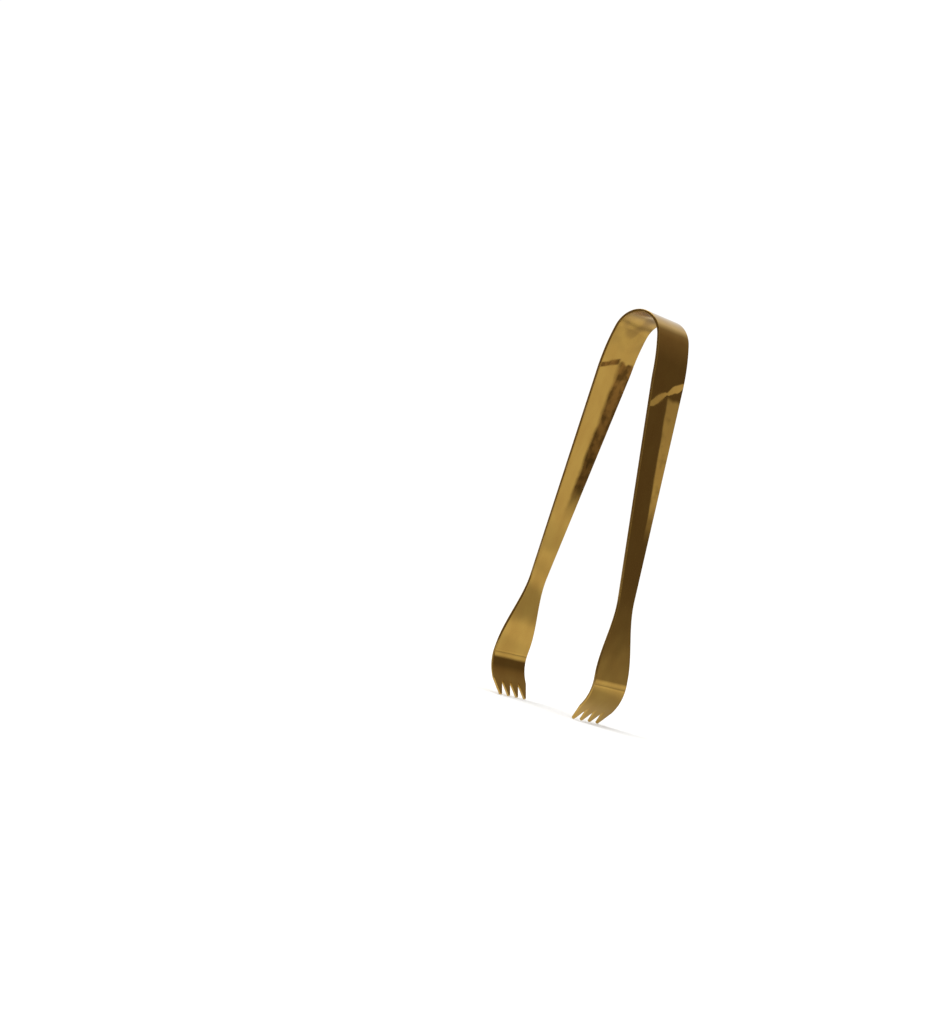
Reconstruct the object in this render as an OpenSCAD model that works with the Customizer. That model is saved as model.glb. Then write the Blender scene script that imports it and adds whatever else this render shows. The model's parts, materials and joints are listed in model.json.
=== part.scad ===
// Ice tongs bent from one strip of sheet metal: a round spring bow at the top, two long
// arms that taper to a neck, and a toothed claw at the foot of each arm.
// X is the direction in which the tongs open, Y is the width of the strip, +Z is up.
// The origin is level with the tooth tips, midway between the two claws.

/* [Strip] */
// Thickness of the sheet
strip_thickness = 1.0; // [0.8:0.1:1.2]
// Width of the strip in the bow and across a claw
strip_width = 18; // [16:1:20]
// Height from the tooth tips to the top of the bow
overall_height = 140; // [132:1:150]

/* [Bow] */
// Outside radius of the round crown
crown_radius = 10.1; // [9:0.1:11]
// Angle from the vertical at which the crown meets a shoulder
crown_half_angle = 73.5; // [70:0.5:78]
// Outside radius of the gently curved shoulders
shoulder_radius = 66; // [50:1:80]

/* [Arms] */
// Angle between an arm and the vertical when the tongs are at rest
arm_splay = 5.9; // [4.5:0.1:7]
// Length of full-width arm below the shoulder, before the taper starts
taper_delay = 2.3; // [0:0.1:5]
// Width of the narrowest place on an arm
neck_width = 8.6; // [7:0.2:10]
// Height of the neck above the tooth tips
neck_height = 43; // [40:1:46]
// Height at which the arm hands over to the claw
claw_height = 34; // [30:1:37]

/* [Claws] */
// Height at which the claw reaches its full width
claw_full_height = 17; // [14:1:20]
// Outside radius of the bend that turns a claw inwards
claw_radius = 15; // [12:1:18]
// Angle between a tooth and the vertical
claw_angle = 34; // [25:1:40]
// Teeth on each claw
tooth_count = 4; // [3:1:5]
// Length of flat sheet at the end of a claw, below its bend
claw_flat = 6.6; // [6:0.2:7.6]
// Length of a tooth, measured along the sheet
tooth_length = 5.8; // [4:0.2:5.8]
// Width of the blunt tip of a tooth
tooth_tip_width = 0.8; // [0.5:0.1:1.2]

/* [Flexures] */
// Saw cut across the sheet where an arm flexes on the bow
flex_gap = 0.2; // [0.16:0.02:0.3]

/* [Hidden] */
$fn = 96;
gold = [0.72, 0.55, 0.28];
dark_gold = [0.60, 0.44, 0.20];
pale_gold = [0.82, 0.68, 0.42];
outline_steps = 12;
clearance = 20;

// Directions of the sheet's outward normal, as angles above the horizontal.
crown_end_angle = 90 - crown_half_angle;
flex_half_angle = asin(flex_gap / 2 / (shoulder_radius - strip_thickness));

// Centres and joints of the outside line, as [x, z] on the right-hand side.
function polar(radius, angle) = radius * [cos(angle), sin(angle)];
crown_centre = [0, overall_height - crown_radius];
crown_end = crown_centre + polar(crown_radius, crown_end_angle);
shoulder_centre = crown_end - polar(shoulder_radius, crown_end_angle);
shoulder_end = shoulder_centre + polar(shoulder_radius, arm_splay);
claw_centre_z = claw_radius * sin(claw_angle) + claw_flat * cos(claw_angle);
claw_bend_z = claw_centre_z + claw_radius * sin(arm_splay);
arm_length = (shoulder_end[1] - claw_bend_z) / cos(arm_splay);
claw_bend_start = shoulder_end + arm_length * [sin(arm_splay), -cos(arm_splay)];
claw_centre = claw_bend_start - polar(claw_radius, arm_splay);
claw_flat_start = claw_centre + polar(claw_radius, -claw_angle);

// Heights of the outline's corners.
taper_z = shoulder_end[1] - taper_delay * cos(arm_splay);
notch_height = tooth_length * cos(claw_angle);
tooth_pitch = strip_width / tooth_count;

// Width of the sheet from the neck, t = 0, to the full width of the claw, t = 1.
// It leaves the taper of the arm without a corner and ends parallel to the arm.
flare_length = neck_height - claw_full_height;
taper = (strip_width - neck_width) / (taper_z - neck_height);
function ease(t) = t * t * (3 - 2 * t);
function flare_width(t) =
    neck_width + (strip_width - neck_width) * ease(t) - taper * flare_length * t * (1 - t) * (1 - t);
function flare_z(t) = neck_height - flare_length * t;

// Half the blank's width against its height, on the side of +Y, from the top to the foot.
half_outline = concat(
    [[strip_width / 2, overall_height + clearance], [strip_width / 2, taper_z]],
    [for (i = [0 : outline_steps]) [flare_width(i / outline_steps) / 2, flare_z(i / outline_steps)]],
    [[strip_width / 2, -clearance]]
);

module other_side() {
    mirror([1, 0, 0]) children();
}

// A length of sheet bent round an axis along Y, between two directions of its normal.
module bent_sheet(centre, radius, low_angle, high_angle) {
    translate([centre[0], 0, centre[1]])
        rotate([90, 0, 0])
            rotate([0, 0, low_angle])
                rotate_extrude(angle = high_angle - low_angle)
                    translate([radius - strip_thickness, -strip_width / 2])
                        square([strip_thickness, strip_width]);
}

// A flat length of sheet whose outside face starts at a point and runs down,
// with its outward normal at the given angle above the horizontal.
module flat_sheet(start, normal_angle, from, length) {
    translate([start[0], 0, start[1]])
        rotate([0, -normal_angle, 0])
            translate([-strip_thickness, -strip_width / 2, -from - length])
                cube([strip_thickness, strip_width, length]);
}

// The flat blank's outline, as wide as the whole object along X.
module blank() {
    depth = overall_height;
    rotate([90, 0, 90])
        linear_extrude(height = depth)
            polygon(concat(
                half_outline,
                [for (i = [len(half_outline) - 1 : -1 : 0]) [-half_outline[i][0], half_outline[i][1]]]
            ));
}

// V-shaped notches that leave a row of pointed teeth, cut along X.
module notches() {
    half_mouth = (tooth_pitch - tooth_tip_width) / 2;
    slope = notch_height / half_mouth;
    for (i = [0 : tooth_count])
        translate([0, i * tooth_pitch - strip_width / 2, 0])
            rotate([90, 0, 90])
                linear_extrude(height = overall_height)
                    polygon([
                        [0, notch_height],
                        [-half_mouth - clearance / slope, -clearance],
                        [half_mouth + clearance / slope, -clearance]
                    ]);
}

// Everything above or below a level.
module above(z) {
    translate([-overall_height, -overall_height, z])
        cube([2 * overall_height, 2 * overall_height, 2 * overall_height]);
}

module below(z) {
    translate([-overall_height, -overall_height, z - 2 * overall_height])
        cube([2 * overall_height, 2 * overall_height, 2 * overall_height]);
}

module shoulder() {
    bent_sheet(shoulder_centre, shoulder_radius, arm_splay + flex_half_angle, crown_end_angle);
}

module arm() {
    intersection() {
        flat_sheet(shoulder_end, arm_splay, flex_gap / 2, arm_length);
        blank();
        above(claw_height);
    }
}

module claw() {
    difference() {
        intersection() {
            union() {
                flat_sheet(shoulder_end, arm_splay, flex_gap / 2, arm_length - flex_gap / 2);
                bent_sheet(claw_centre, claw_radius, -claw_angle, arm_splay);
                flat_sheet(claw_flat_start, -claw_angle, 0, claw_flat);
            }
            blank();
            below(claw_height);
        }
        notches();
    }
}

module bow_crown() {
    color(pale_gold)
        bent_sheet(crown_centre, crown_radius, crown_end_angle, 180 - crown_end_angle);
}

module right_shoulder() {
    color(gold) shoulder();
}

module left_shoulder() {
    color(gold) other_side() shoulder();
}

module right_arm() {
    color(dark_gold) arm();
}

module left_arm() {
    color(dark_gold) other_side() arm();
}

module right_claw() {
    color(gold) claw();
}

module left_claw() {
    color(gold) other_side() claw();
}

bow_crown();
left_shoulder();
right_shoulder();
left_arm();
right_arm();
left_claw();
right_claw();
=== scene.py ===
"""Ice tongs: one strip of polished gold-coloured sheet metal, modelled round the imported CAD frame."""

import json
import math

import bpy
from mathutils import Matrix, Vector


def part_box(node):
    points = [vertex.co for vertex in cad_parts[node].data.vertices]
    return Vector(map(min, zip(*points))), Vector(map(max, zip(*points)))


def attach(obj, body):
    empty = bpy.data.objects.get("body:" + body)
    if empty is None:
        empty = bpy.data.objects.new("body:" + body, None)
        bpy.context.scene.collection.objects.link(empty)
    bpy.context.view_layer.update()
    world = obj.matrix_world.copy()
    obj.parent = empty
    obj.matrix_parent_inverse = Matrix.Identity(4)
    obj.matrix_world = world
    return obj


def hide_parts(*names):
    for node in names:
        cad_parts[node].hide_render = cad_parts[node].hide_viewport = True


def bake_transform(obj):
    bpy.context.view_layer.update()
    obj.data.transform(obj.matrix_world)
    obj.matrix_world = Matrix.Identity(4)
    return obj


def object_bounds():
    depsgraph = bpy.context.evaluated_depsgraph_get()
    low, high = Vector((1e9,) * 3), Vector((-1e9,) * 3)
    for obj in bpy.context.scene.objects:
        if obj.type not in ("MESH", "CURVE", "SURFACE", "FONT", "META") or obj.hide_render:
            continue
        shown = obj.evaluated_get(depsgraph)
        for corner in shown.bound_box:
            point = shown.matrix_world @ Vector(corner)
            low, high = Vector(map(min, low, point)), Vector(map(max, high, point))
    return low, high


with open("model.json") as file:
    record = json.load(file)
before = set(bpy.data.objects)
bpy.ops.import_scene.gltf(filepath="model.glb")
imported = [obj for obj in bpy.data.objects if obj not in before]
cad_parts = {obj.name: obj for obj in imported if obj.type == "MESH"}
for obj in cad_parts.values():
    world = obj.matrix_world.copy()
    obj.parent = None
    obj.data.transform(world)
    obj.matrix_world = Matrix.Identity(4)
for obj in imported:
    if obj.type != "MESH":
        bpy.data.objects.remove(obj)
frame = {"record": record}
cad_low, cad_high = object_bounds()

MM = 0.001

# ---------------------------------------------------------------------------
# The strip's driving dimensions
# ---------------------------------------------------------------------------

bow_seat = next(m for m in frame["record"]["mounts"] if m["name"] == "bow_seat")
crown_low, crown_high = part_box("bow_crown")
claw_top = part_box("right_claw")[1].z

crown_centre = Vector((0, bow_seat["pos_m"][2]))
crown_radius = crown_high.z - crown_centre.y
thickness = crown_radius - bow_seat["dims"]["r_mm"] * MM
strip_width = crown_high.y - crown_low.y

CROWN_END = math.radians(16.5)
SHOULDER_RADIUS = 66 * MM
ARM_SPLAY = math.radians(5.9)
TAPER_DELAY = 2.3 * MM
NECK_WIDTH = 8.6 * MM
NECK_HEIGHT = 43 * MM
CLAW_FULL_HEIGHT = 17 * MM
CLAW_RADIUS = 15 * MM
CLAW_ANGLE = math.radians(34)
CLAW_FLAT = 6.6 * MM
TOOTH_COUNT = 4
TOOTH_LENGTH = 5.8 * MM
TOOTH_TIP = 0.8 * MM

EDGE_RADIUS = 0.26 * MM
EDGE_STEPS = 5
SUPPORT = 0.1 * MM
SEAM_INSETS = (0.02 * MM, 0.1 * MM)
DIGITS = 9
SAME = 1e-9


def polar(radius, angle):
    return Vector((radius * math.cos(angle), radius * math.sin(angle)))


# ---------------------------------------------------------------------------
# The line of the sheet's outside face, as stations on the right-hand side
# ---------------------------------------------------------------------------

crown_end = crown_centre + polar(crown_radius, CROWN_END)
shoulder_centre = crown_end - polar(SHOULDER_RADIUS, CROWN_END)
shoulder_end = shoulder_centre + polar(SHOULDER_RADIUS, ARM_SPLAY)
claw_centre_z = CLAW_RADIUS * math.sin(CLAW_ANGLE) + CLAW_FLAT * math.cos(CLAW_ANGLE)
claw_bend_z = claw_centre_z + CLAW_RADIUS * math.sin(ARM_SPLAY)
arm_length = (shoulder_end.y - claw_bend_z) / math.cos(ARM_SPLAY)
claw_line_length = (claw_top - claw_bend_z) / math.cos(ARM_SPLAY)

crown_length = crown_radius * (math.pi / 2 - CROWN_END)
shoulder_length = SHOULDER_RADIUS * (CROWN_END - ARM_SPLAY)
claw_bend_length = CLAW_RADIUS * (ARM_SPLAY + CLAW_ANGLE)

breaks = [0.0]
for part_length in (crown_length, shoulder_length, arm_length, claw_bend_length, CLAW_FLAT):
    breaks.append(round(breaks[-1] + part_length, DIGITS))
CROWN_S, SHOULDER_S, ARM_S, BEND_S, TIP_S = breaks[1:]
ROOT_S = round(TIP_S - TOOTH_LENGTH, DIGITS)


def down(angle):
    """The direction along the sheet towards the claw, where its outward normal is at this angle."""
    return Vector((math.sin(angle), -math.cos(angle)))


def station(s):
    """Point (x, z) of the outside face and its normal's angle, at a distance s from the top of the bow."""
    if s < CROWN_S:
        angle = math.pi / 2 - s / crown_radius
        return crown_centre + polar(crown_radius, angle), angle
    if s < SHOULDER_S:
        angle = CROWN_END - (s - CROWN_S) / SHOULDER_RADIUS
        return shoulder_centre + polar(SHOULDER_RADIUS, angle), angle
    bend_start = shoulder_end + down(ARM_SPLAY) * arm_length
    bend_centre = bend_start - polar(CLAW_RADIUS, ARM_SPLAY)
    if s < ARM_S:
        return shoulder_end + down(ARM_SPLAY) * (s - SHOULDER_S), ARM_SPLAY
    if s < BEND_S:
        angle = ARM_SPLAY - (s - ARM_S) / CLAW_RADIUS
        return bend_centre + polar(CLAW_RADIUS, angle), angle
    flat_start = bend_centre + polar(CLAW_RADIUS, -CLAW_ANGLE)
    return flat_start + down(-CLAW_ANGLE) * (s - BEND_S), -CLAW_ANGLE


def ease(t):
    """From 0 to 1 with a level start and end."""
    return t * t * (3 - 2 * t)


def width_at(s):
    """Width of the strip at a distance s from the top of the bow."""
    z = station(s)[0].y
    taper_z = shoulder_end.y - TAPER_DELAY * math.cos(ARM_SPLAY)
    taper = (strip_width - NECK_WIDTH) / (taper_z - NECK_HEIGHT)
    flare = NECK_HEIGHT - CLAW_FULL_HEIGHT
    if z >= taper_z or z <= CLAW_FULL_HEIGHT:
        return strip_width
    if z >= NECK_HEIGHT:
        return strip_width - taper * (taper_z - z)
    t = (NECK_HEIGHT - z) / flare
    return NECK_WIDTH + (strip_width - NECK_WIDTH) * ease(t) - taper * flare * t * (1 - t) ** 2


# ---------------------------------------------------------------------------
# The sheet as a closed mesh with rounded edges
# ---------------------------------------------------------------------------

# Distances from an edge of the sheet at which a line of points runs along it.
edge_lines = [EDGE_RADIUS * (1 - math.cos(math.pi / 2 * k / EDGE_STEPS)) for k in range(EDGE_STEPS + 1)]
edge_lines.append(EDGE_RADIUS + SUPPORT)


def half_thickness(distance):
    """Half the sheet's thickness at a distance from its nearest edge, which is rounded."""
    inset = max(0.0, EDGE_RADIUS - distance)
    return thickness / 2 - EDGE_RADIUS + math.sqrt(max(0.0, EDGE_RADIUS**2 - inset**2))


def tooth_sides(cell, s):
    """The two sides of one of the equal bands that the width is divided into, one for each tooth."""
    width = width_at(s)
    pitch = width / TOOTH_COUNT
    left = cell * pitch - width / 2
    cut = max(0.0, (s - ROOT_S) / TOOTH_LENGTH) * (pitch - TOOTH_TIP) / 2
    return left + cut, left + pitch - cut


def edge_distance(cell, s, y):
    """Distance of a point on the sheet from the nearest edge, measured on the sheet."""
    left, right = tooth_sides(cell, s)
    if s > ROOT_S:
        lean = math.atan2((strip_width / TOOTH_COUNT - TOOTH_TIP) / 2, TOOTH_LENGTH)
        return min((y - left) * math.cos(lean), (right - y) * math.cos(lean), TIP_S - s)
    to_side = width_at(s) / 2 - abs(y)
    to_root = min(math.hypot(ROOT_S - s, y - left), math.hypot(ROOT_S - s, right - y))
    return min(to_side, to_root)


def columns(cell, s):
    """The y of each line of points across one tooth's band."""
    left, right = tooth_sides(cell, s)
    near = [left + d for d in edge_lines]
    return near + [(left + right) / 2] + [left + right - y for y in reversed(near)]


def sheet_rows(start, end, step):
    """Distances along the sheet, evenly spaced between two of its ends."""
    count = max(1, math.ceil((end - start) / step))
    return [start + (end - start) * i / count for i in range(count + 1)]


def seam_rows(start, end, step):
    """The same, with two more rows close to each end, so that the shading meets its neighbour's."""
    rows = sheet_rows(start, end, step)
    return sorted(set(rows + [start + c for c in SEAM_INSETS] + [end - c for c in SEAM_INSETS]))


def make_sheet(name, side, rows):
    """A length of the strip as a closed mesh. side is 1 on the right and -1 on the left. Each point's
    "strip" attribute holds its distance along the sheet, its y and its depth under the outside face."""
    verts, coords, index = [], [], {}

    def point(face, row, cell, column):
        """The number of one point, made when first asked for. face is 1 outside and -1 inside."""
        s = rows[row]
        at = columns(cell, abs(s))
        if column == len(at) - 1 and cell < TOOTH_COUNT - 1 and abs(s) <= ROOT_S + SAME:
            cell, column = cell + 1, 0
            at = columns(cell, abs(s))
        key = (face, row, cell, column)
        if key not in index:
            y = at[column]
            place, angle = station(abs(s))
            turn = -1 if s < 0 else 1
            inset = thickness / 2 - face * half_thickness(edge_distance(cell, abs(s), y))
            p = place - polar(inset, angle)
            index[key] = len(verts)
            verts.append((p.x * side * turn, y, p.y))
            coords.append((s * side, y, inset))
        return index[key]

    last = 2 * len(edge_lines)
    outside, inside = [], []
    for row in range(len(rows) - 1):
        for cell in range(TOOTH_COUNT):
            for column in range(last):
                corners = ((row, column), (row, column + 1), (row + 1, column + 1), (row + 1, column))
                outside.append([point(1, r, cell, c) for r, c in corners])
                inside.append([point(-1, r, cell, c) for r, c in corners])

    twin = {point(1, *rest): point(-1, *rest) for (face, *rest) in list(index) if face == 1}
    edges = {}
    for quad in outside:
        for a, b in zip(quad, quad[1:] + quad[:1]):
            edges.setdefault(frozenset((a, b)), []).append((a, b))
    walls = [
        (b, a, twin[a], twin[b])
        for found in edges.values() if len(found) == 1
        for a, b in found
    ]
    faces = outside + [quad[::-1] for quad in inside] + walls
    if side > 0:
        faces = [tuple(reversed(f)) for f in faces]

    mesh = bpy.data.meshes.new(name)
    mesh.from_pydata(verts, [], faces)
    strip = mesh.attributes.new("strip", "FLOAT_VECTOR", "POINT")
    strip.data.foreach_set("vector", [c for v in coords for c in v])
    mesh.shade_smooth()
    obj = bpy.data.objects.new(name, mesh)
    bpy.context.scene.collection.objects.link(obj)

    # The flat ends where one length meets the next keep a hard edge.
    ends = {rows[0] * side, rows[-1] * side} - {TIP_S * side}
    sharp = mesh.attributes.new("sharp_edge", "BOOLEAN", "EDGE")
    flags = []
    for edge in mesh.edges:
        a, b = (coords[v] for v in edge.vertices)
        flags.append(a[0] == b[0] and a[0] in ends)
    sharp.data.foreach_set("value", flags)
    mesh.validate()
    mesh.update()
    return obj


CROWN_STEP = 0.25 * MM
SHOULDER_STEP = 0.6 * MM
ARM_STEP = 1.5 * MM
FLARE_STEP = 1.0 * MM
BEND_STEP = 0.4 * MM
TOOTH_STEP = 0.6 * MM

claw_s = ARM_S - claw_line_length
shoulder_rows = seam_rows(CROWN_S, SHOULDER_S, SHOULDER_STEP)
arm_rows = seam_rows(SHOULDER_S, claw_s, ARM_STEP)
claw_rows = sorted({
    round(s, DIGITS) for s in
    seam_rows(claw_s, ARM_S, FLARE_STEP)
    + sheet_rows(ARM_S, BEND_S, BEND_STEP)
    + sheet_rows(BEND_S, ROOT_S, TOOTH_STEP)
    + sheet_rows(ROOT_S, TIP_S, TOOTH_STEP)
    + [ROOT_S - d for d in edge_lines]
    + [TIP_S - d for d in edge_lines]
})

pieces = []


def add_piece(name, node, side, rows, body):
    """One length of the strip, in place of its CAD node. A flexing one is not attached to a body; its
    placing is baked into its mesh.
    """
    piece = make_sheet(name, side, rows)
    if body == "flexing":
        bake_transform(piece)
    else:
        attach(piece, body)
    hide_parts(node)
    pieces.append(piece)


add_piece("crown_sheet", "bow_crown", 1, seam_rows(-CROWN_S, CROWN_S, CROWN_STEP), "bow")
for side, hand in ((-1, "left"), (1, "right")):
    add_piece(f"{hand}_shoulder_sheet", f"{hand}_shoulder", side, shoulder_rows, "flexing")
    add_piece(f"{hand}_arm_sheet", f"{hand}_arm", side, arm_rows, "flexing")
    add_piece(f"{hand}_claw_sheet", f"{hand}_claw", side, claw_rows, f"{hand}_arm")


# ---------------------------------------------------------------------------
# The metal
# ---------------------------------------------------------------------------


class Nodes:
    """A short way to write a node tree."""

    def __init__(self, tree):
        self.tree = tree

    def add(self, kind, inputs=None, **settings):
        node = self.tree.nodes.new("ShaderNode" + kind)
        for key, value in settings.items():
            setattr(node, key, value)
        for key, value in (inputs or {}).items():
            if isinstance(value, bpy.types.NodeSocket):
                self.tree.links.new(value, node.inputs[key])
            else:
                node.inputs[key].default_value = value
        return node

    def math(self, operation, a, b=0.0, clamp=False):
        return self.add("Math", {0: a, 1: b}, operation=operation, use_clamp=clamp).outputs[0]

    def spread(self, value, low, high, to_low=0.0, to_high=1.0, smooth=False):
        kind = "SMOOTHSTEP" if smooth else "LINEAR"
        inputs = {"Value": value, "From Min": low, "From Max": high, "To Min": to_low, "To Max": to_high}
        return self.add("MapRange", inputs, interpolation_type=kind).outputs[0]

    def noise(self, vector, scale, detail=2.0, roughness=0.5):
        inputs = {"Vector": vector, "Scale": scale, "Detail": detail, "Roughness": roughness}
        return self.add("TexNoise", inputs).outputs["Fac"]

    def join(self, x, y):
        return self.add("CombineXYZ", {0: x, 1: y}).outputs[0]

    def mix(self, factor, a, b, kind="MIX"):
        inputs = {"Factor": factor, "A": a, "B": b}
        return self.add("Mix", inputs, data_type="RGBA", blend_type=kind).outputs["Result"]


def plain_material(name):
    material = bpy.data.materials.new(name)
    material.use_nodes = True
    return material


GOLD = (0.44, 0.268, 0.055, 1)
GOLD_DEEP = (0.40, 0.232, 0.046, 1)
GOLD_WORN = (0.52, 0.35, 0.12, 1)
# Painted shade: the darker colour mixed in on the inside of the bow.
GOLD_SHADED_IN_BOW = (0.27, 0.155, 0.035, 1)

# How fine each texture is, per metre along the strip, across it and through it.
SMUDGES = (90, 160, 90)
HAIRLINES = (260, 9000, 9000)
SCRATCHES = (500, 5200, 5200)
WORN_PATCHES = (220, 220, 220)
# The patches of painted shade on the inside of the bow.
BOW_SHADE_PATCHES = (190, 150, 0)
WAVES = (70, 130, 0)
PUCKERS = (150, 95, 0)

WAVE_DEPTH = 0.05 * MM
PUCKER_DEPTH = 0.35 * MM
SCRATCH_DEPTH = 0.0006 * MM

CLEAN_ROUGHNESS = 0.045
SMUDGED_ROUGHNESS = 0.10
# What each of these adds to the roughness.
SCRATCH_ROUGHNESS = 0.08
EDGE_ROUGHNESS = 0.14
BOW_ROUGHNESS = 0.14


def gold_metal():
    """Polished sheet with a thin gold coating: soft waves from rolling and bending, fine lines along the
    strip from polishing, faint smudges from handling, and a paler coating where the edges have worn. The
    inside of the bow is rougher, and puckered where bending has squeezed the metal; its colour is also
    darkened there in soft patches, which is painted shade in the hollow of the bend."""
    material = plain_material("gold_steel")
    n = Nodes(material.node_tree)
    shader = material.node_tree.nodes["Principled BSDF"]
    strip = n.add("Attribute", attribute_name="strip").outputs["Vector"]

    def texture(fineness, **settings):
        scaled = n.add("Mapping", {"Vector": strip, "Scale": fineness}).outputs[0]
        return n.noise(scaled, 1.0, **settings)

    def bump(height, depth, **under):
        return n.add("Bump", {"Height": height, "Distance": depth, "Strength": 1.0, **under}).outputs[0]

    # 1 along the rounded corners of the edges and 0 on the flat of the faces.
    place = n.add("SeparateXYZ", {0: strip})
    depth = place.outputs["Z"]
    off_middle = n.math("ABSOLUTE", n.math("SUBTRACT", depth, thickness / 2))
    edge = n.spread(off_middle, thickness * 0.5, thickness * 0.42)

    # 1 on the inside of the bow, fading out down the shoulders. It is rougher there, since a polishing
    # wheel hardly reaches it, and its colour is darkened in patches with painted shade.
    in_bow = n.spread(n.math("ABSOLUTE", place.outputs["X"]), SHOULDER_S, CROWN_S * 0.7, smooth=True)
    in_bow = n.math("MULTIPLY", in_bow, n.spread(depth, thickness * 0.85, thickness * 0.95))

    smudges = texture(SMUDGES, detail=3.0)
    hairlines = texture(HAIRLINES, detail=2.0, roughness=0.6)
    scratches = n.spread(texture(SCRATCHES, detail=1.0), 0.68, 0.76)

    colour = n.mix(n.spread(smudges, 0.35, 0.65), GOLD, GOLD_DEEP)
    wear = n.math("MULTIPLY", edge, n.spread(texture(WORN_PATCHES), 0.35, 0.75))
    colour = n.mix(wear, colour, GOLD_WORN)
    # Painted shade: the colour is darkened in patches on the inside of the bow, in the hollow of the bend.
    bow_shade = n.spread(texture(BOW_SHADE_PATCHES, detail=0.0), 0.42, 0.68, 0.0, 0.85, smooth=True)
    colour = n.mix(n.math("MULTIPLY", in_bow, bow_shade), colour, GOLD_SHADED_IN_BOW)

    rough = n.spread(smudges, 0.4, 0.75, CLEAN_ROUGHNESS, SMUDGED_ROUGHNESS)
    for where, more in ((scratches, SCRATCH_ROUGHNESS), (edge, EDGE_ROUGHNESS), (in_bow, BOW_ROUGHNESS)):
        rough = n.math("ADD", rough, n.math("MULTIPLY", where, more))

    normal = bump(texture(WAVES, detail=1.0), WAVE_DEPTH)
    puckers = n.math("MULTIPLY", in_bow, texture(PUCKERS, detail=0.0))
    normal = bump(puckers, PUCKER_DEPTH, Normal=normal)
    fine = n.math("ADD", n.math("MULTIPLY", hairlines, 0.5), n.math("MULTIPLY", scratches, -0.5))
    normal = bump(fine, SCRATCH_DEPTH, Normal=normal)

    for socket, value in (("Base Color", colour), ("Roughness", rough), ("Normal", normal)):
        material.node_tree.links.new(value, shader.inputs[socket])
    shader.inputs["Metallic"].default_value = 1.0
    return material


metal = gold_metal()
for piece in pieces:
    piece.data.materials.append(metal)

# ---------------------------------------------------------------------------
# Camera
# ---------------------------------------------------------------------------

CAMERA_FROM_BOW = Vector((0.5203, -0.6726, -0.0807))
LOOK_AZIMUTH = math.radians(40.6)
LOOK_ELEVATION = math.radians(0.6)
ROLL = math.radians(15.6)
PICTURE_HEIGHT = 1024
FOCAL_PIXELS = 2482
SENSOR = 36.0

camera_data = bpy.data.cameras.new("camera")
camera = bpy.data.objects.new("camera", camera_data)
bpy.context.scene.collection.objects.link(camera)
camera_data.sensor_fit = "AUTO"
camera_data.sensor_width = SENSOR
camera_data.lens = SENSOR * FOCAL_PIXELS / PICTURE_HEIGHT
camera_data.clip_start = 0.01
look = Matrix.Rotation(LOOK_AZIMUTH, 4, "Z") @ Matrix.Rotation(math.pi / 2 + LOOK_ELEVATION, 4, "X")
place = Matrix.Translation(Vector((0, 0, crown_centre.y)) + CAMERA_FROM_BOW)
camera.matrix_world = place @ look @ Matrix.Rotation(ROLL, 4, "Z")
bpy.context.scene.camera = camera

# ---------------------------------------------------------------------------
# Stage and light
# ---------------------------------------------------------------------------


def toward(azimuth, elevation):
    """A unit vector, from degrees anticlockwise of +X and degrees above the floor."""
    turn = Matrix.Rotation(math.radians(azimuth), 3, "Z")
    lift = Matrix.Rotation(-math.radians(elevation), 3, "Y")
    return turn @ lift @ Vector((1, 0, 0))


WHITE = (1, 1, 1, 1)

FLOOR_SIZE = 12.0
FLOOR_COLOUR = (0.86, 0.86, 0.85, 1)
FLOOR_ROUGHNESS = 0.9
# The painted reflection that the metal sees in the floor: a mottle close by, and dim on the camera's side.
MOTTLE_SCALE = 9.0
MOTTLE_DARKEST = 0.60
MOTTLE_PALEST = 1.08
MOTTLE_FADES = (0.25, 0.6)
DIM_SIDE = toward(255, 0)
DIM_FROM = (0.15, 0.5)
DIM_COLOUR = (0.20, 0.16, 0.135, 1)

BACKDROP = 1.05
FILL = 1.2
# The dim walls that the metal mirrors: the middle of each, and its colour so many degrees away from there.
BACK_WALL_MIDDLE = toward(50, 12)
BACK_WALL = (
    (7, (0.170, 0.140, 0.125, 1)),
    (17, (0.29, 0.24, 0.215, 1)),
    (31, (0.36, 0.315, 0.28, 1)),
    (37, (0.56, 0.54, 0.52, 1)),
    (47, WHITE),
)
# The upward part of a direction between which the back wall fades in above the floor.
BACK_WALL_FOOT = (0.01, 0.125)
NEAR_WALL_MIDDLE = toward(285, 5)
NEAR_WALL = ((60, (0.17, 0.135, 0.115, 1)), (86, WHITE))


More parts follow.
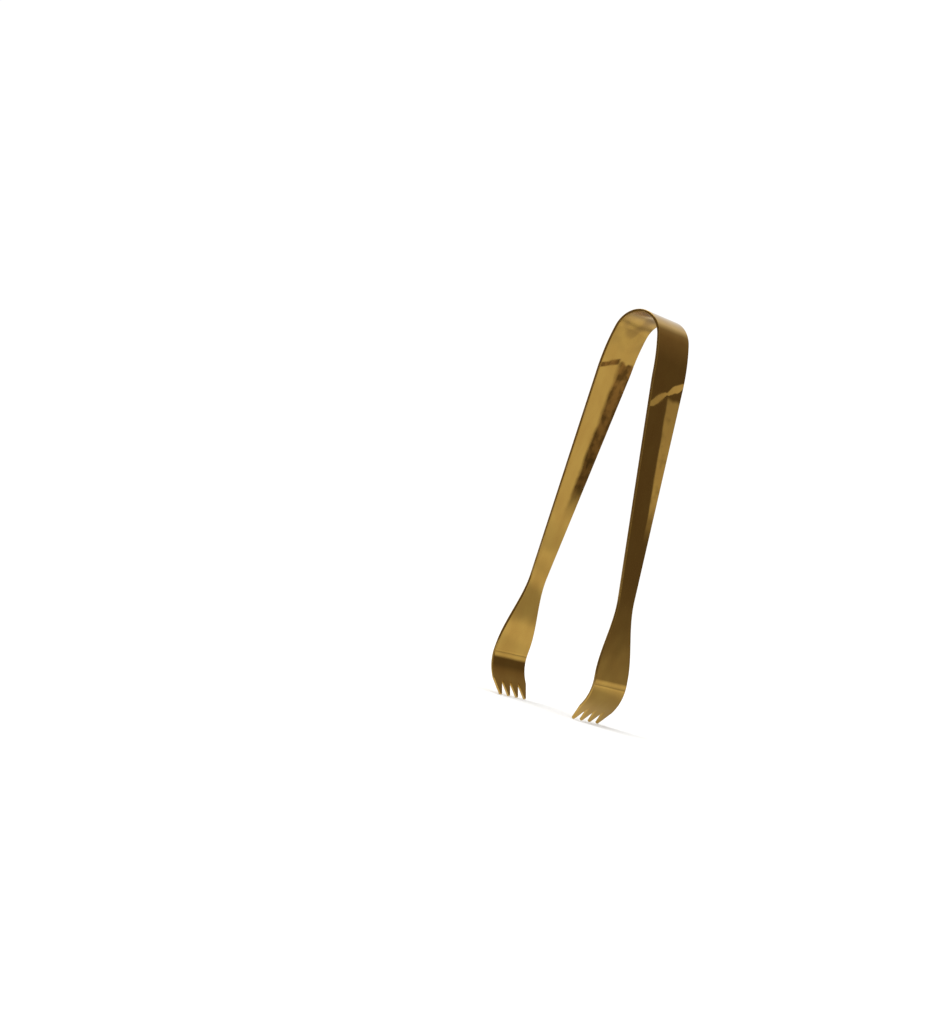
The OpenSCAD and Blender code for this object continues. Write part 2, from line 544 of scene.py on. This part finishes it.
def make_floor():
    """A matt white floor. To the metal's reflections only, it glows instead with a painted reflection that
    is mottled close by and dim further off on the camera's side."""
    bpy.ops.mesh.primitive_plane_add(size=FLOOR_SIZE, location=(0, 0, cad_low.z))
    floor = bpy.context.object
    floor.name = "floor"
    material = plain_material("floor")
    n = Nodes(material.node_tree)
    shader = material.node_tree.nodes["Principled BSDF"]
    shader.inputs["Base Color"].default_value = FLOOR_COLOUR
    shader.inputs["Roughness"].default_value = FLOOR_ROUGHNESS
    shader.inputs["Specular IOR Level"].default_value = 0.0
    place = n.add("NewGeometry").outputs["Position"]
    away = n.add("VectorMath", {0: place}, operation="LENGTH").outputs["Value"]
    mottle = n.noise(place, MOTTLE_SCALE, detail=1.0)
    mottle = n.spread(mottle, 0.36, 0.56, MOTTLE_DARKEST, MOTTLE_PALEST, smooth=True)
    level = n.add("Mix", {"Factor": n.spread(away, *MOTTLE_FADES), "A": mottle, "B": 1.0}).outputs["Result"]
    ahead = n.add("VectorMath", {0: place, 1: DIM_SIDE}, operation="DOT_PRODUCT").outputs["Value"]
    colour = n.mix(n.spread(ahead, *DIM_FROM), WHITE, DIM_COLOUR)
    # Painted reflection: a glow that only glossy rays see.
    mirrored = n.add("Emission", {"Color": colour, "Strength": level}).outputs[0]
    glossy = n.add("LightPath").outputs["Is Glossy Ray"]
    both = n.add("MixShader", {0: glossy, 1: shader.outputs[0], 2: mirrored})
    output = material.node_tree.nodes["Material Output"]
    material.node_tree.links.new(both.outputs[0], output.inputs["Surface"])
    floor.data.materials.append(material)


def make_world():
    """A white studio. The metal also mirrors two dim walls in it: one to the right of the tongs, darkest
    in its middle, and one on the camera's side."""
    world = bpy.data.worlds.new("studio")
    bpy.context.scene.world = world
    world.use_nodes = True
    world.node_tree.nodes.clear()
    n = Nodes(world.node_tree)
    way = n.add("TexCoord").outputs["Generated"]

    def wall(middle, levels):
        """A ramp of colours over the angle between a direction and the wall's middle, up to 90 degrees."""
        facing = n.add("VectorMath", {0: way, 1: middle}, operation="DOT_PRODUCT").outputs["Value"]
        off = n.math("DIVIDE", n.math("ARCCOSINE", facing), math.pi / 2, clamp=True)
        ramp = n.add("ValToRGB", {"Fac": off})
        points = ramp.color_ramp.elements
        while len(points) < len(levels):
            points.new(0.5)
        for point, (angle, colour) in zip(points, levels):
            point.position = angle / 90
            point.color = colour
        return ramp.outputs["Color"]

    up = n.add("SeparateXYZ", {0: way}).outputs["Z"]
    above_floor = n.spread(up, *BACK_WALL_FOOT, smooth=True)
    back_wall = n.mix(above_floor, WHITE, wall(BACK_WALL_MIDDLE, BACK_WALL))
    walls = n.mix(1.0, back_wall, wall(NEAR_WALL_MIDDLE, NEAR_WALL), "MULTIPLY")

    seen = n.add("Background", {"Color": WHITE, "Strength": BACKDROP}).outputs[0]
    mirrored = n.add("Background", {"Color": walls, "Strength": 1.0}).outputs[0]
    lit = n.add("Background", {"Color": WHITE, "Strength": FILL}).outputs[0]
    path = n.add("LightPath").outputs
    either = n.add("MixShader", {0: path["Is Glossy Ray"], 1: lit, 2: mirrored}).outputs[0]
    both = n.add("MixShader", {0: path["Is Camera Ray"], 1: either, 2: seen}).outputs[0]
    n.add("OutputWorld", {"Surface": both})


CARD_GAP = 2.5 * MM
CARD_FADE = 68 * MM
CARD_END = 84 * MM
CARD_ROWS = 40
CARD_COLUMNS = 12
CARD_REACH = 1.3


def make_card(name, side, inner, top, bottom, paint):
    """A card behind the tongs that only the metal sees. The camera sees it mirrored in one arm, from top
    to bottom along the sheet and CARD_REACH times the half width to each side of the middle. Its "spot"
    attribute says where: (mm along the sheet, -1 at the front edge to 1 at the back edge, 0)."""
    eye = camera.matrix_world.translation

    def mirrored(s, across):
        """A spot on the sheet, and the way in which the camera's ray leaves it."""
        place, angle = station(s)
        place = place - polar(thickness if inner else 0, angle)
        facing = polar(-1 if inner else 1, angle)
        normal = Vector((facing.x * side, 0, facing.y))
        spot = Vector((place.x * side, across * width_at(s) / 2, place.y))
        return spot, (spot - eye).normalized().reflect(normal)

    verts, spots = [], []
    for row in range(CARD_ROWS + 1):
        for column in range(CARD_COLUMNS + 1):
            s = top + (bottom - top) * row / CARD_ROWS
            across = CARD_REACH * (2 * column / CARD_COLUMNS - 1)
            spot, ray = mirrored(s, across)
            verts.append(spot + ray * ((cad_high.y + CARD_GAP - spot.y) / ray.y))
            spots.append((s / MM, across, 0))
    wide = CARD_COLUMNS + 1
    faces = [
        (i, i + 1, i + 1 + wide, i + wide)
        for row in range(CARD_ROWS) for i in range(row * wide, row * wide + CARD_COLUMNS)
    ]
    mesh = bpy.data.meshes.new(name)
    mesh.from_pydata(verts, [], faces)
    attribute = mesh.attributes.new("spot", "FLOAT_VECTOR", "POINT")
    attribute.data.foreach_set("vector", [c for v in spots for c in v])
    card = bpy.data.objects.new(name, mesh)
    bpy.context.scene.collection.objects.link(card)
    card.visible_camera = False
    card.visible_diffuse = False
    card.visible_shadow = False
    card.visible_transmission = False
    card.visible_volume_scatter = False

    material = plain_material(name)
    material.node_tree.nodes.clear()
    n = Nodes(material.node_tree)
    place = n.add("SeparateXYZ", {0: n.add("Attribute", attribute_name="spot").outputs["Vector"]})
    colour, cover = paint(n, place.outputs["X"], place.outputs["Y"])
    fading = n.spread(place.outputs["X"], CARD_END / MM, CARD_FADE / MM, smooth=True)
    shown = n.add("MixShader", {
        0: n.math("MULTIPLY", cover, fading),
        1: n.add("BsdfTransparent").outputs[0],
        2: n.add("Emission", {"Color": colour}).outputs[0],
    })
    n.add("OutputMaterial", {"Surface": shown.outputs[0]})
    mesh.materials.append(material)


def tinted(n, level, colour):
    """A grey level times a colour."""
    grey = n.add("CombineColor", {0: level, 1: level, 2: level}).outputs[0]
    return n.mix(1.0, grey, colour, "MULTIPLY")


PALE_TINT = (1.0, 0.95, 0.88, 1)
PALE_TOP = 22 * MM
PALE_RIM = 32.0
PALE_RIM_RISE = 5.0
LEAF_THINNEST = 0.4
LEAF_BULGE = 1.2
LEAF_TURN = 2.9
LEAF_START = 1.05


def paint_pale_panel(n, along, across):
    """A pale panel low on the back half, under a pale rim like a chain of leaves, which rises towards the
    back. Lengths along the sheet are in mm."""
    wobble = n.noise(n.join(across, n.math("MULTIPLY", along, 0.05)), 1.6)
    wobble = n.math("MULTIPLY", n.math("SUBTRACT", wobble, 0.5), 3.0)
    rim = n.math("ADD", n.math("MULTIPLY", across, -PALE_RIM_RISE), n.math("ADD", wobble, PALE_RIM))
    off_rim = n.math("ABSOLUTE", n.math("SUBTRACT", along, rim))
    leaf = n.math("SINE", n.math("MULTIPLY", n.math("ADD", across, LEAF_START), LEAF_TURN))
    leaf = n.math("ADD", n.math("MULTIPLY", n.math("ABSOLUTE", leaf), LEAF_BULGE), LEAF_THINNEST)
    line = n.spread(n.math("DIVIDE", off_rim, leaf), 1.2, 0.8, smooth=True)
    border = n.math("ADD", n.math("MULTIPLY", along, 0.007), n.math("MULTIPLY", wobble, 0.03))
    beyond = n.spread(n.math("SUBTRACT", across, border), -0.17, -0.05, smooth=True)
    below = n.math("ADD", n.math("SUBTRACT", along, PALE_RIM), wobble)
    panel = n.math("MULTIPLY", beyond, n.spread(below, 0.5, 2.5, smooth=True))
    cover = n.math("MAXIMUM", line, panel)
    spots = n.noise(n.join(n.math("MULTIPLY", along, 0.13), across), 2.2)
    level = n.math("MULTIPLY", n.spread(along, 35, 60, 0.58, 0.76), n.spread(spots, 0.30, 0.50, 0.75, 1.0))
    rim_level = n.math("MULTIPLY", line, n.spread(across, -1.0, 0.6, 0.55, 0.85))
    return tinted(n, n.math("MAXIMUM", level, rim_level), PALE_TINT), cover


DARK_TINT = (1.0, 0.80, 0.76, 1)
DARK_TOP = 20 * MM
BAR_AT = 24.2
BAR_RISE = 3.2


def paint_dark_panel(n, along, across):
    """A dark panel on the back half with blotches in it, and a thin dark bar in front of its top. Lengths
    along the sheet are in mm."""
    wobble = n.noise(n.join(n.math("MULTIPLY", along, 0.12), across), 1.5)
    wobble = n.math("SUBTRACT", wobble, 0.5)
    border = n.math("MULTIPLY", wobble, 0.3)
    beyond = n.spread(n.math("SUBTRACT", across, border), -0.02, 0.24)
    top = n.math("SUBTRACT", along, n.math("MULTIPLY", wobble, 6.0))
    panel = n.math("MULTIPLY", beyond, n.spread(top, 23.5, 25.0, smooth=True))
    bar_line = n.math("ADD", n.math("MULTIPLY", across, -BAR_RISE), BAR_AT)
    bar = n.spread(n.math("ABSOLUTE", n.math("SUBTRACT", along, bar_line)), 1.2, 0.6, smooth=True)
    bar = n.math("MULTIPLY", bar, n.spread(across, 0.1, 0.0))
    cover = n.math("MAXIMUM", panel, bar)
    blotches = n.noise(n.join(n.math("MULTIPLY", along, 0.10), across), 2.6)
    blotches = n.spread(blotches, 0.38, 0.6, 0.6, 1.35)
    level = n.math("MULTIPLY", n.spread(along, 30, 65, 0.34, 0.18), blotches)
    return tinted(n, level, DARK_TINT), cover


SOFTBOX_AT = Vector((-0.35, -0.25, 0.95))
SOFTBOX_SIZE = (0.8, 0.5)
SOFTBOX_WATTS = 3.0


def make_softbox():
    """A large soft light above, on the left, aimed at the middle of the tongs."""
    data = bpy.data.lights.new("softbox", "AREA")
    data.shape = "RECTANGLE"
    data.size, data.size_y = SOFTBOX_SIZE
    data.energy = SOFTBOX_WATTS
    light = bpy.data.objects.new("softbox", data)
    bpy.context.scene.collection.objects.link(light)
    aim = Vector((0, 0, cad_high.z / 2))
    light.location = SOFTBOX_AT
    light.rotation_euler = (aim - SOFTBOX_AT).to_track_quat("-Z", "Y").to_euler()


make_floor()
make_world()
make_softbox()
make_card("pale_card", 1, False, PALE_TOP, CARD_END, paint_pale_panel)
make_card("dark_card", -1, True, DARK_TOP, CARD_END, paint_dark_panel)

bpy.context.scene.view_settings.view_transform = "Standard"
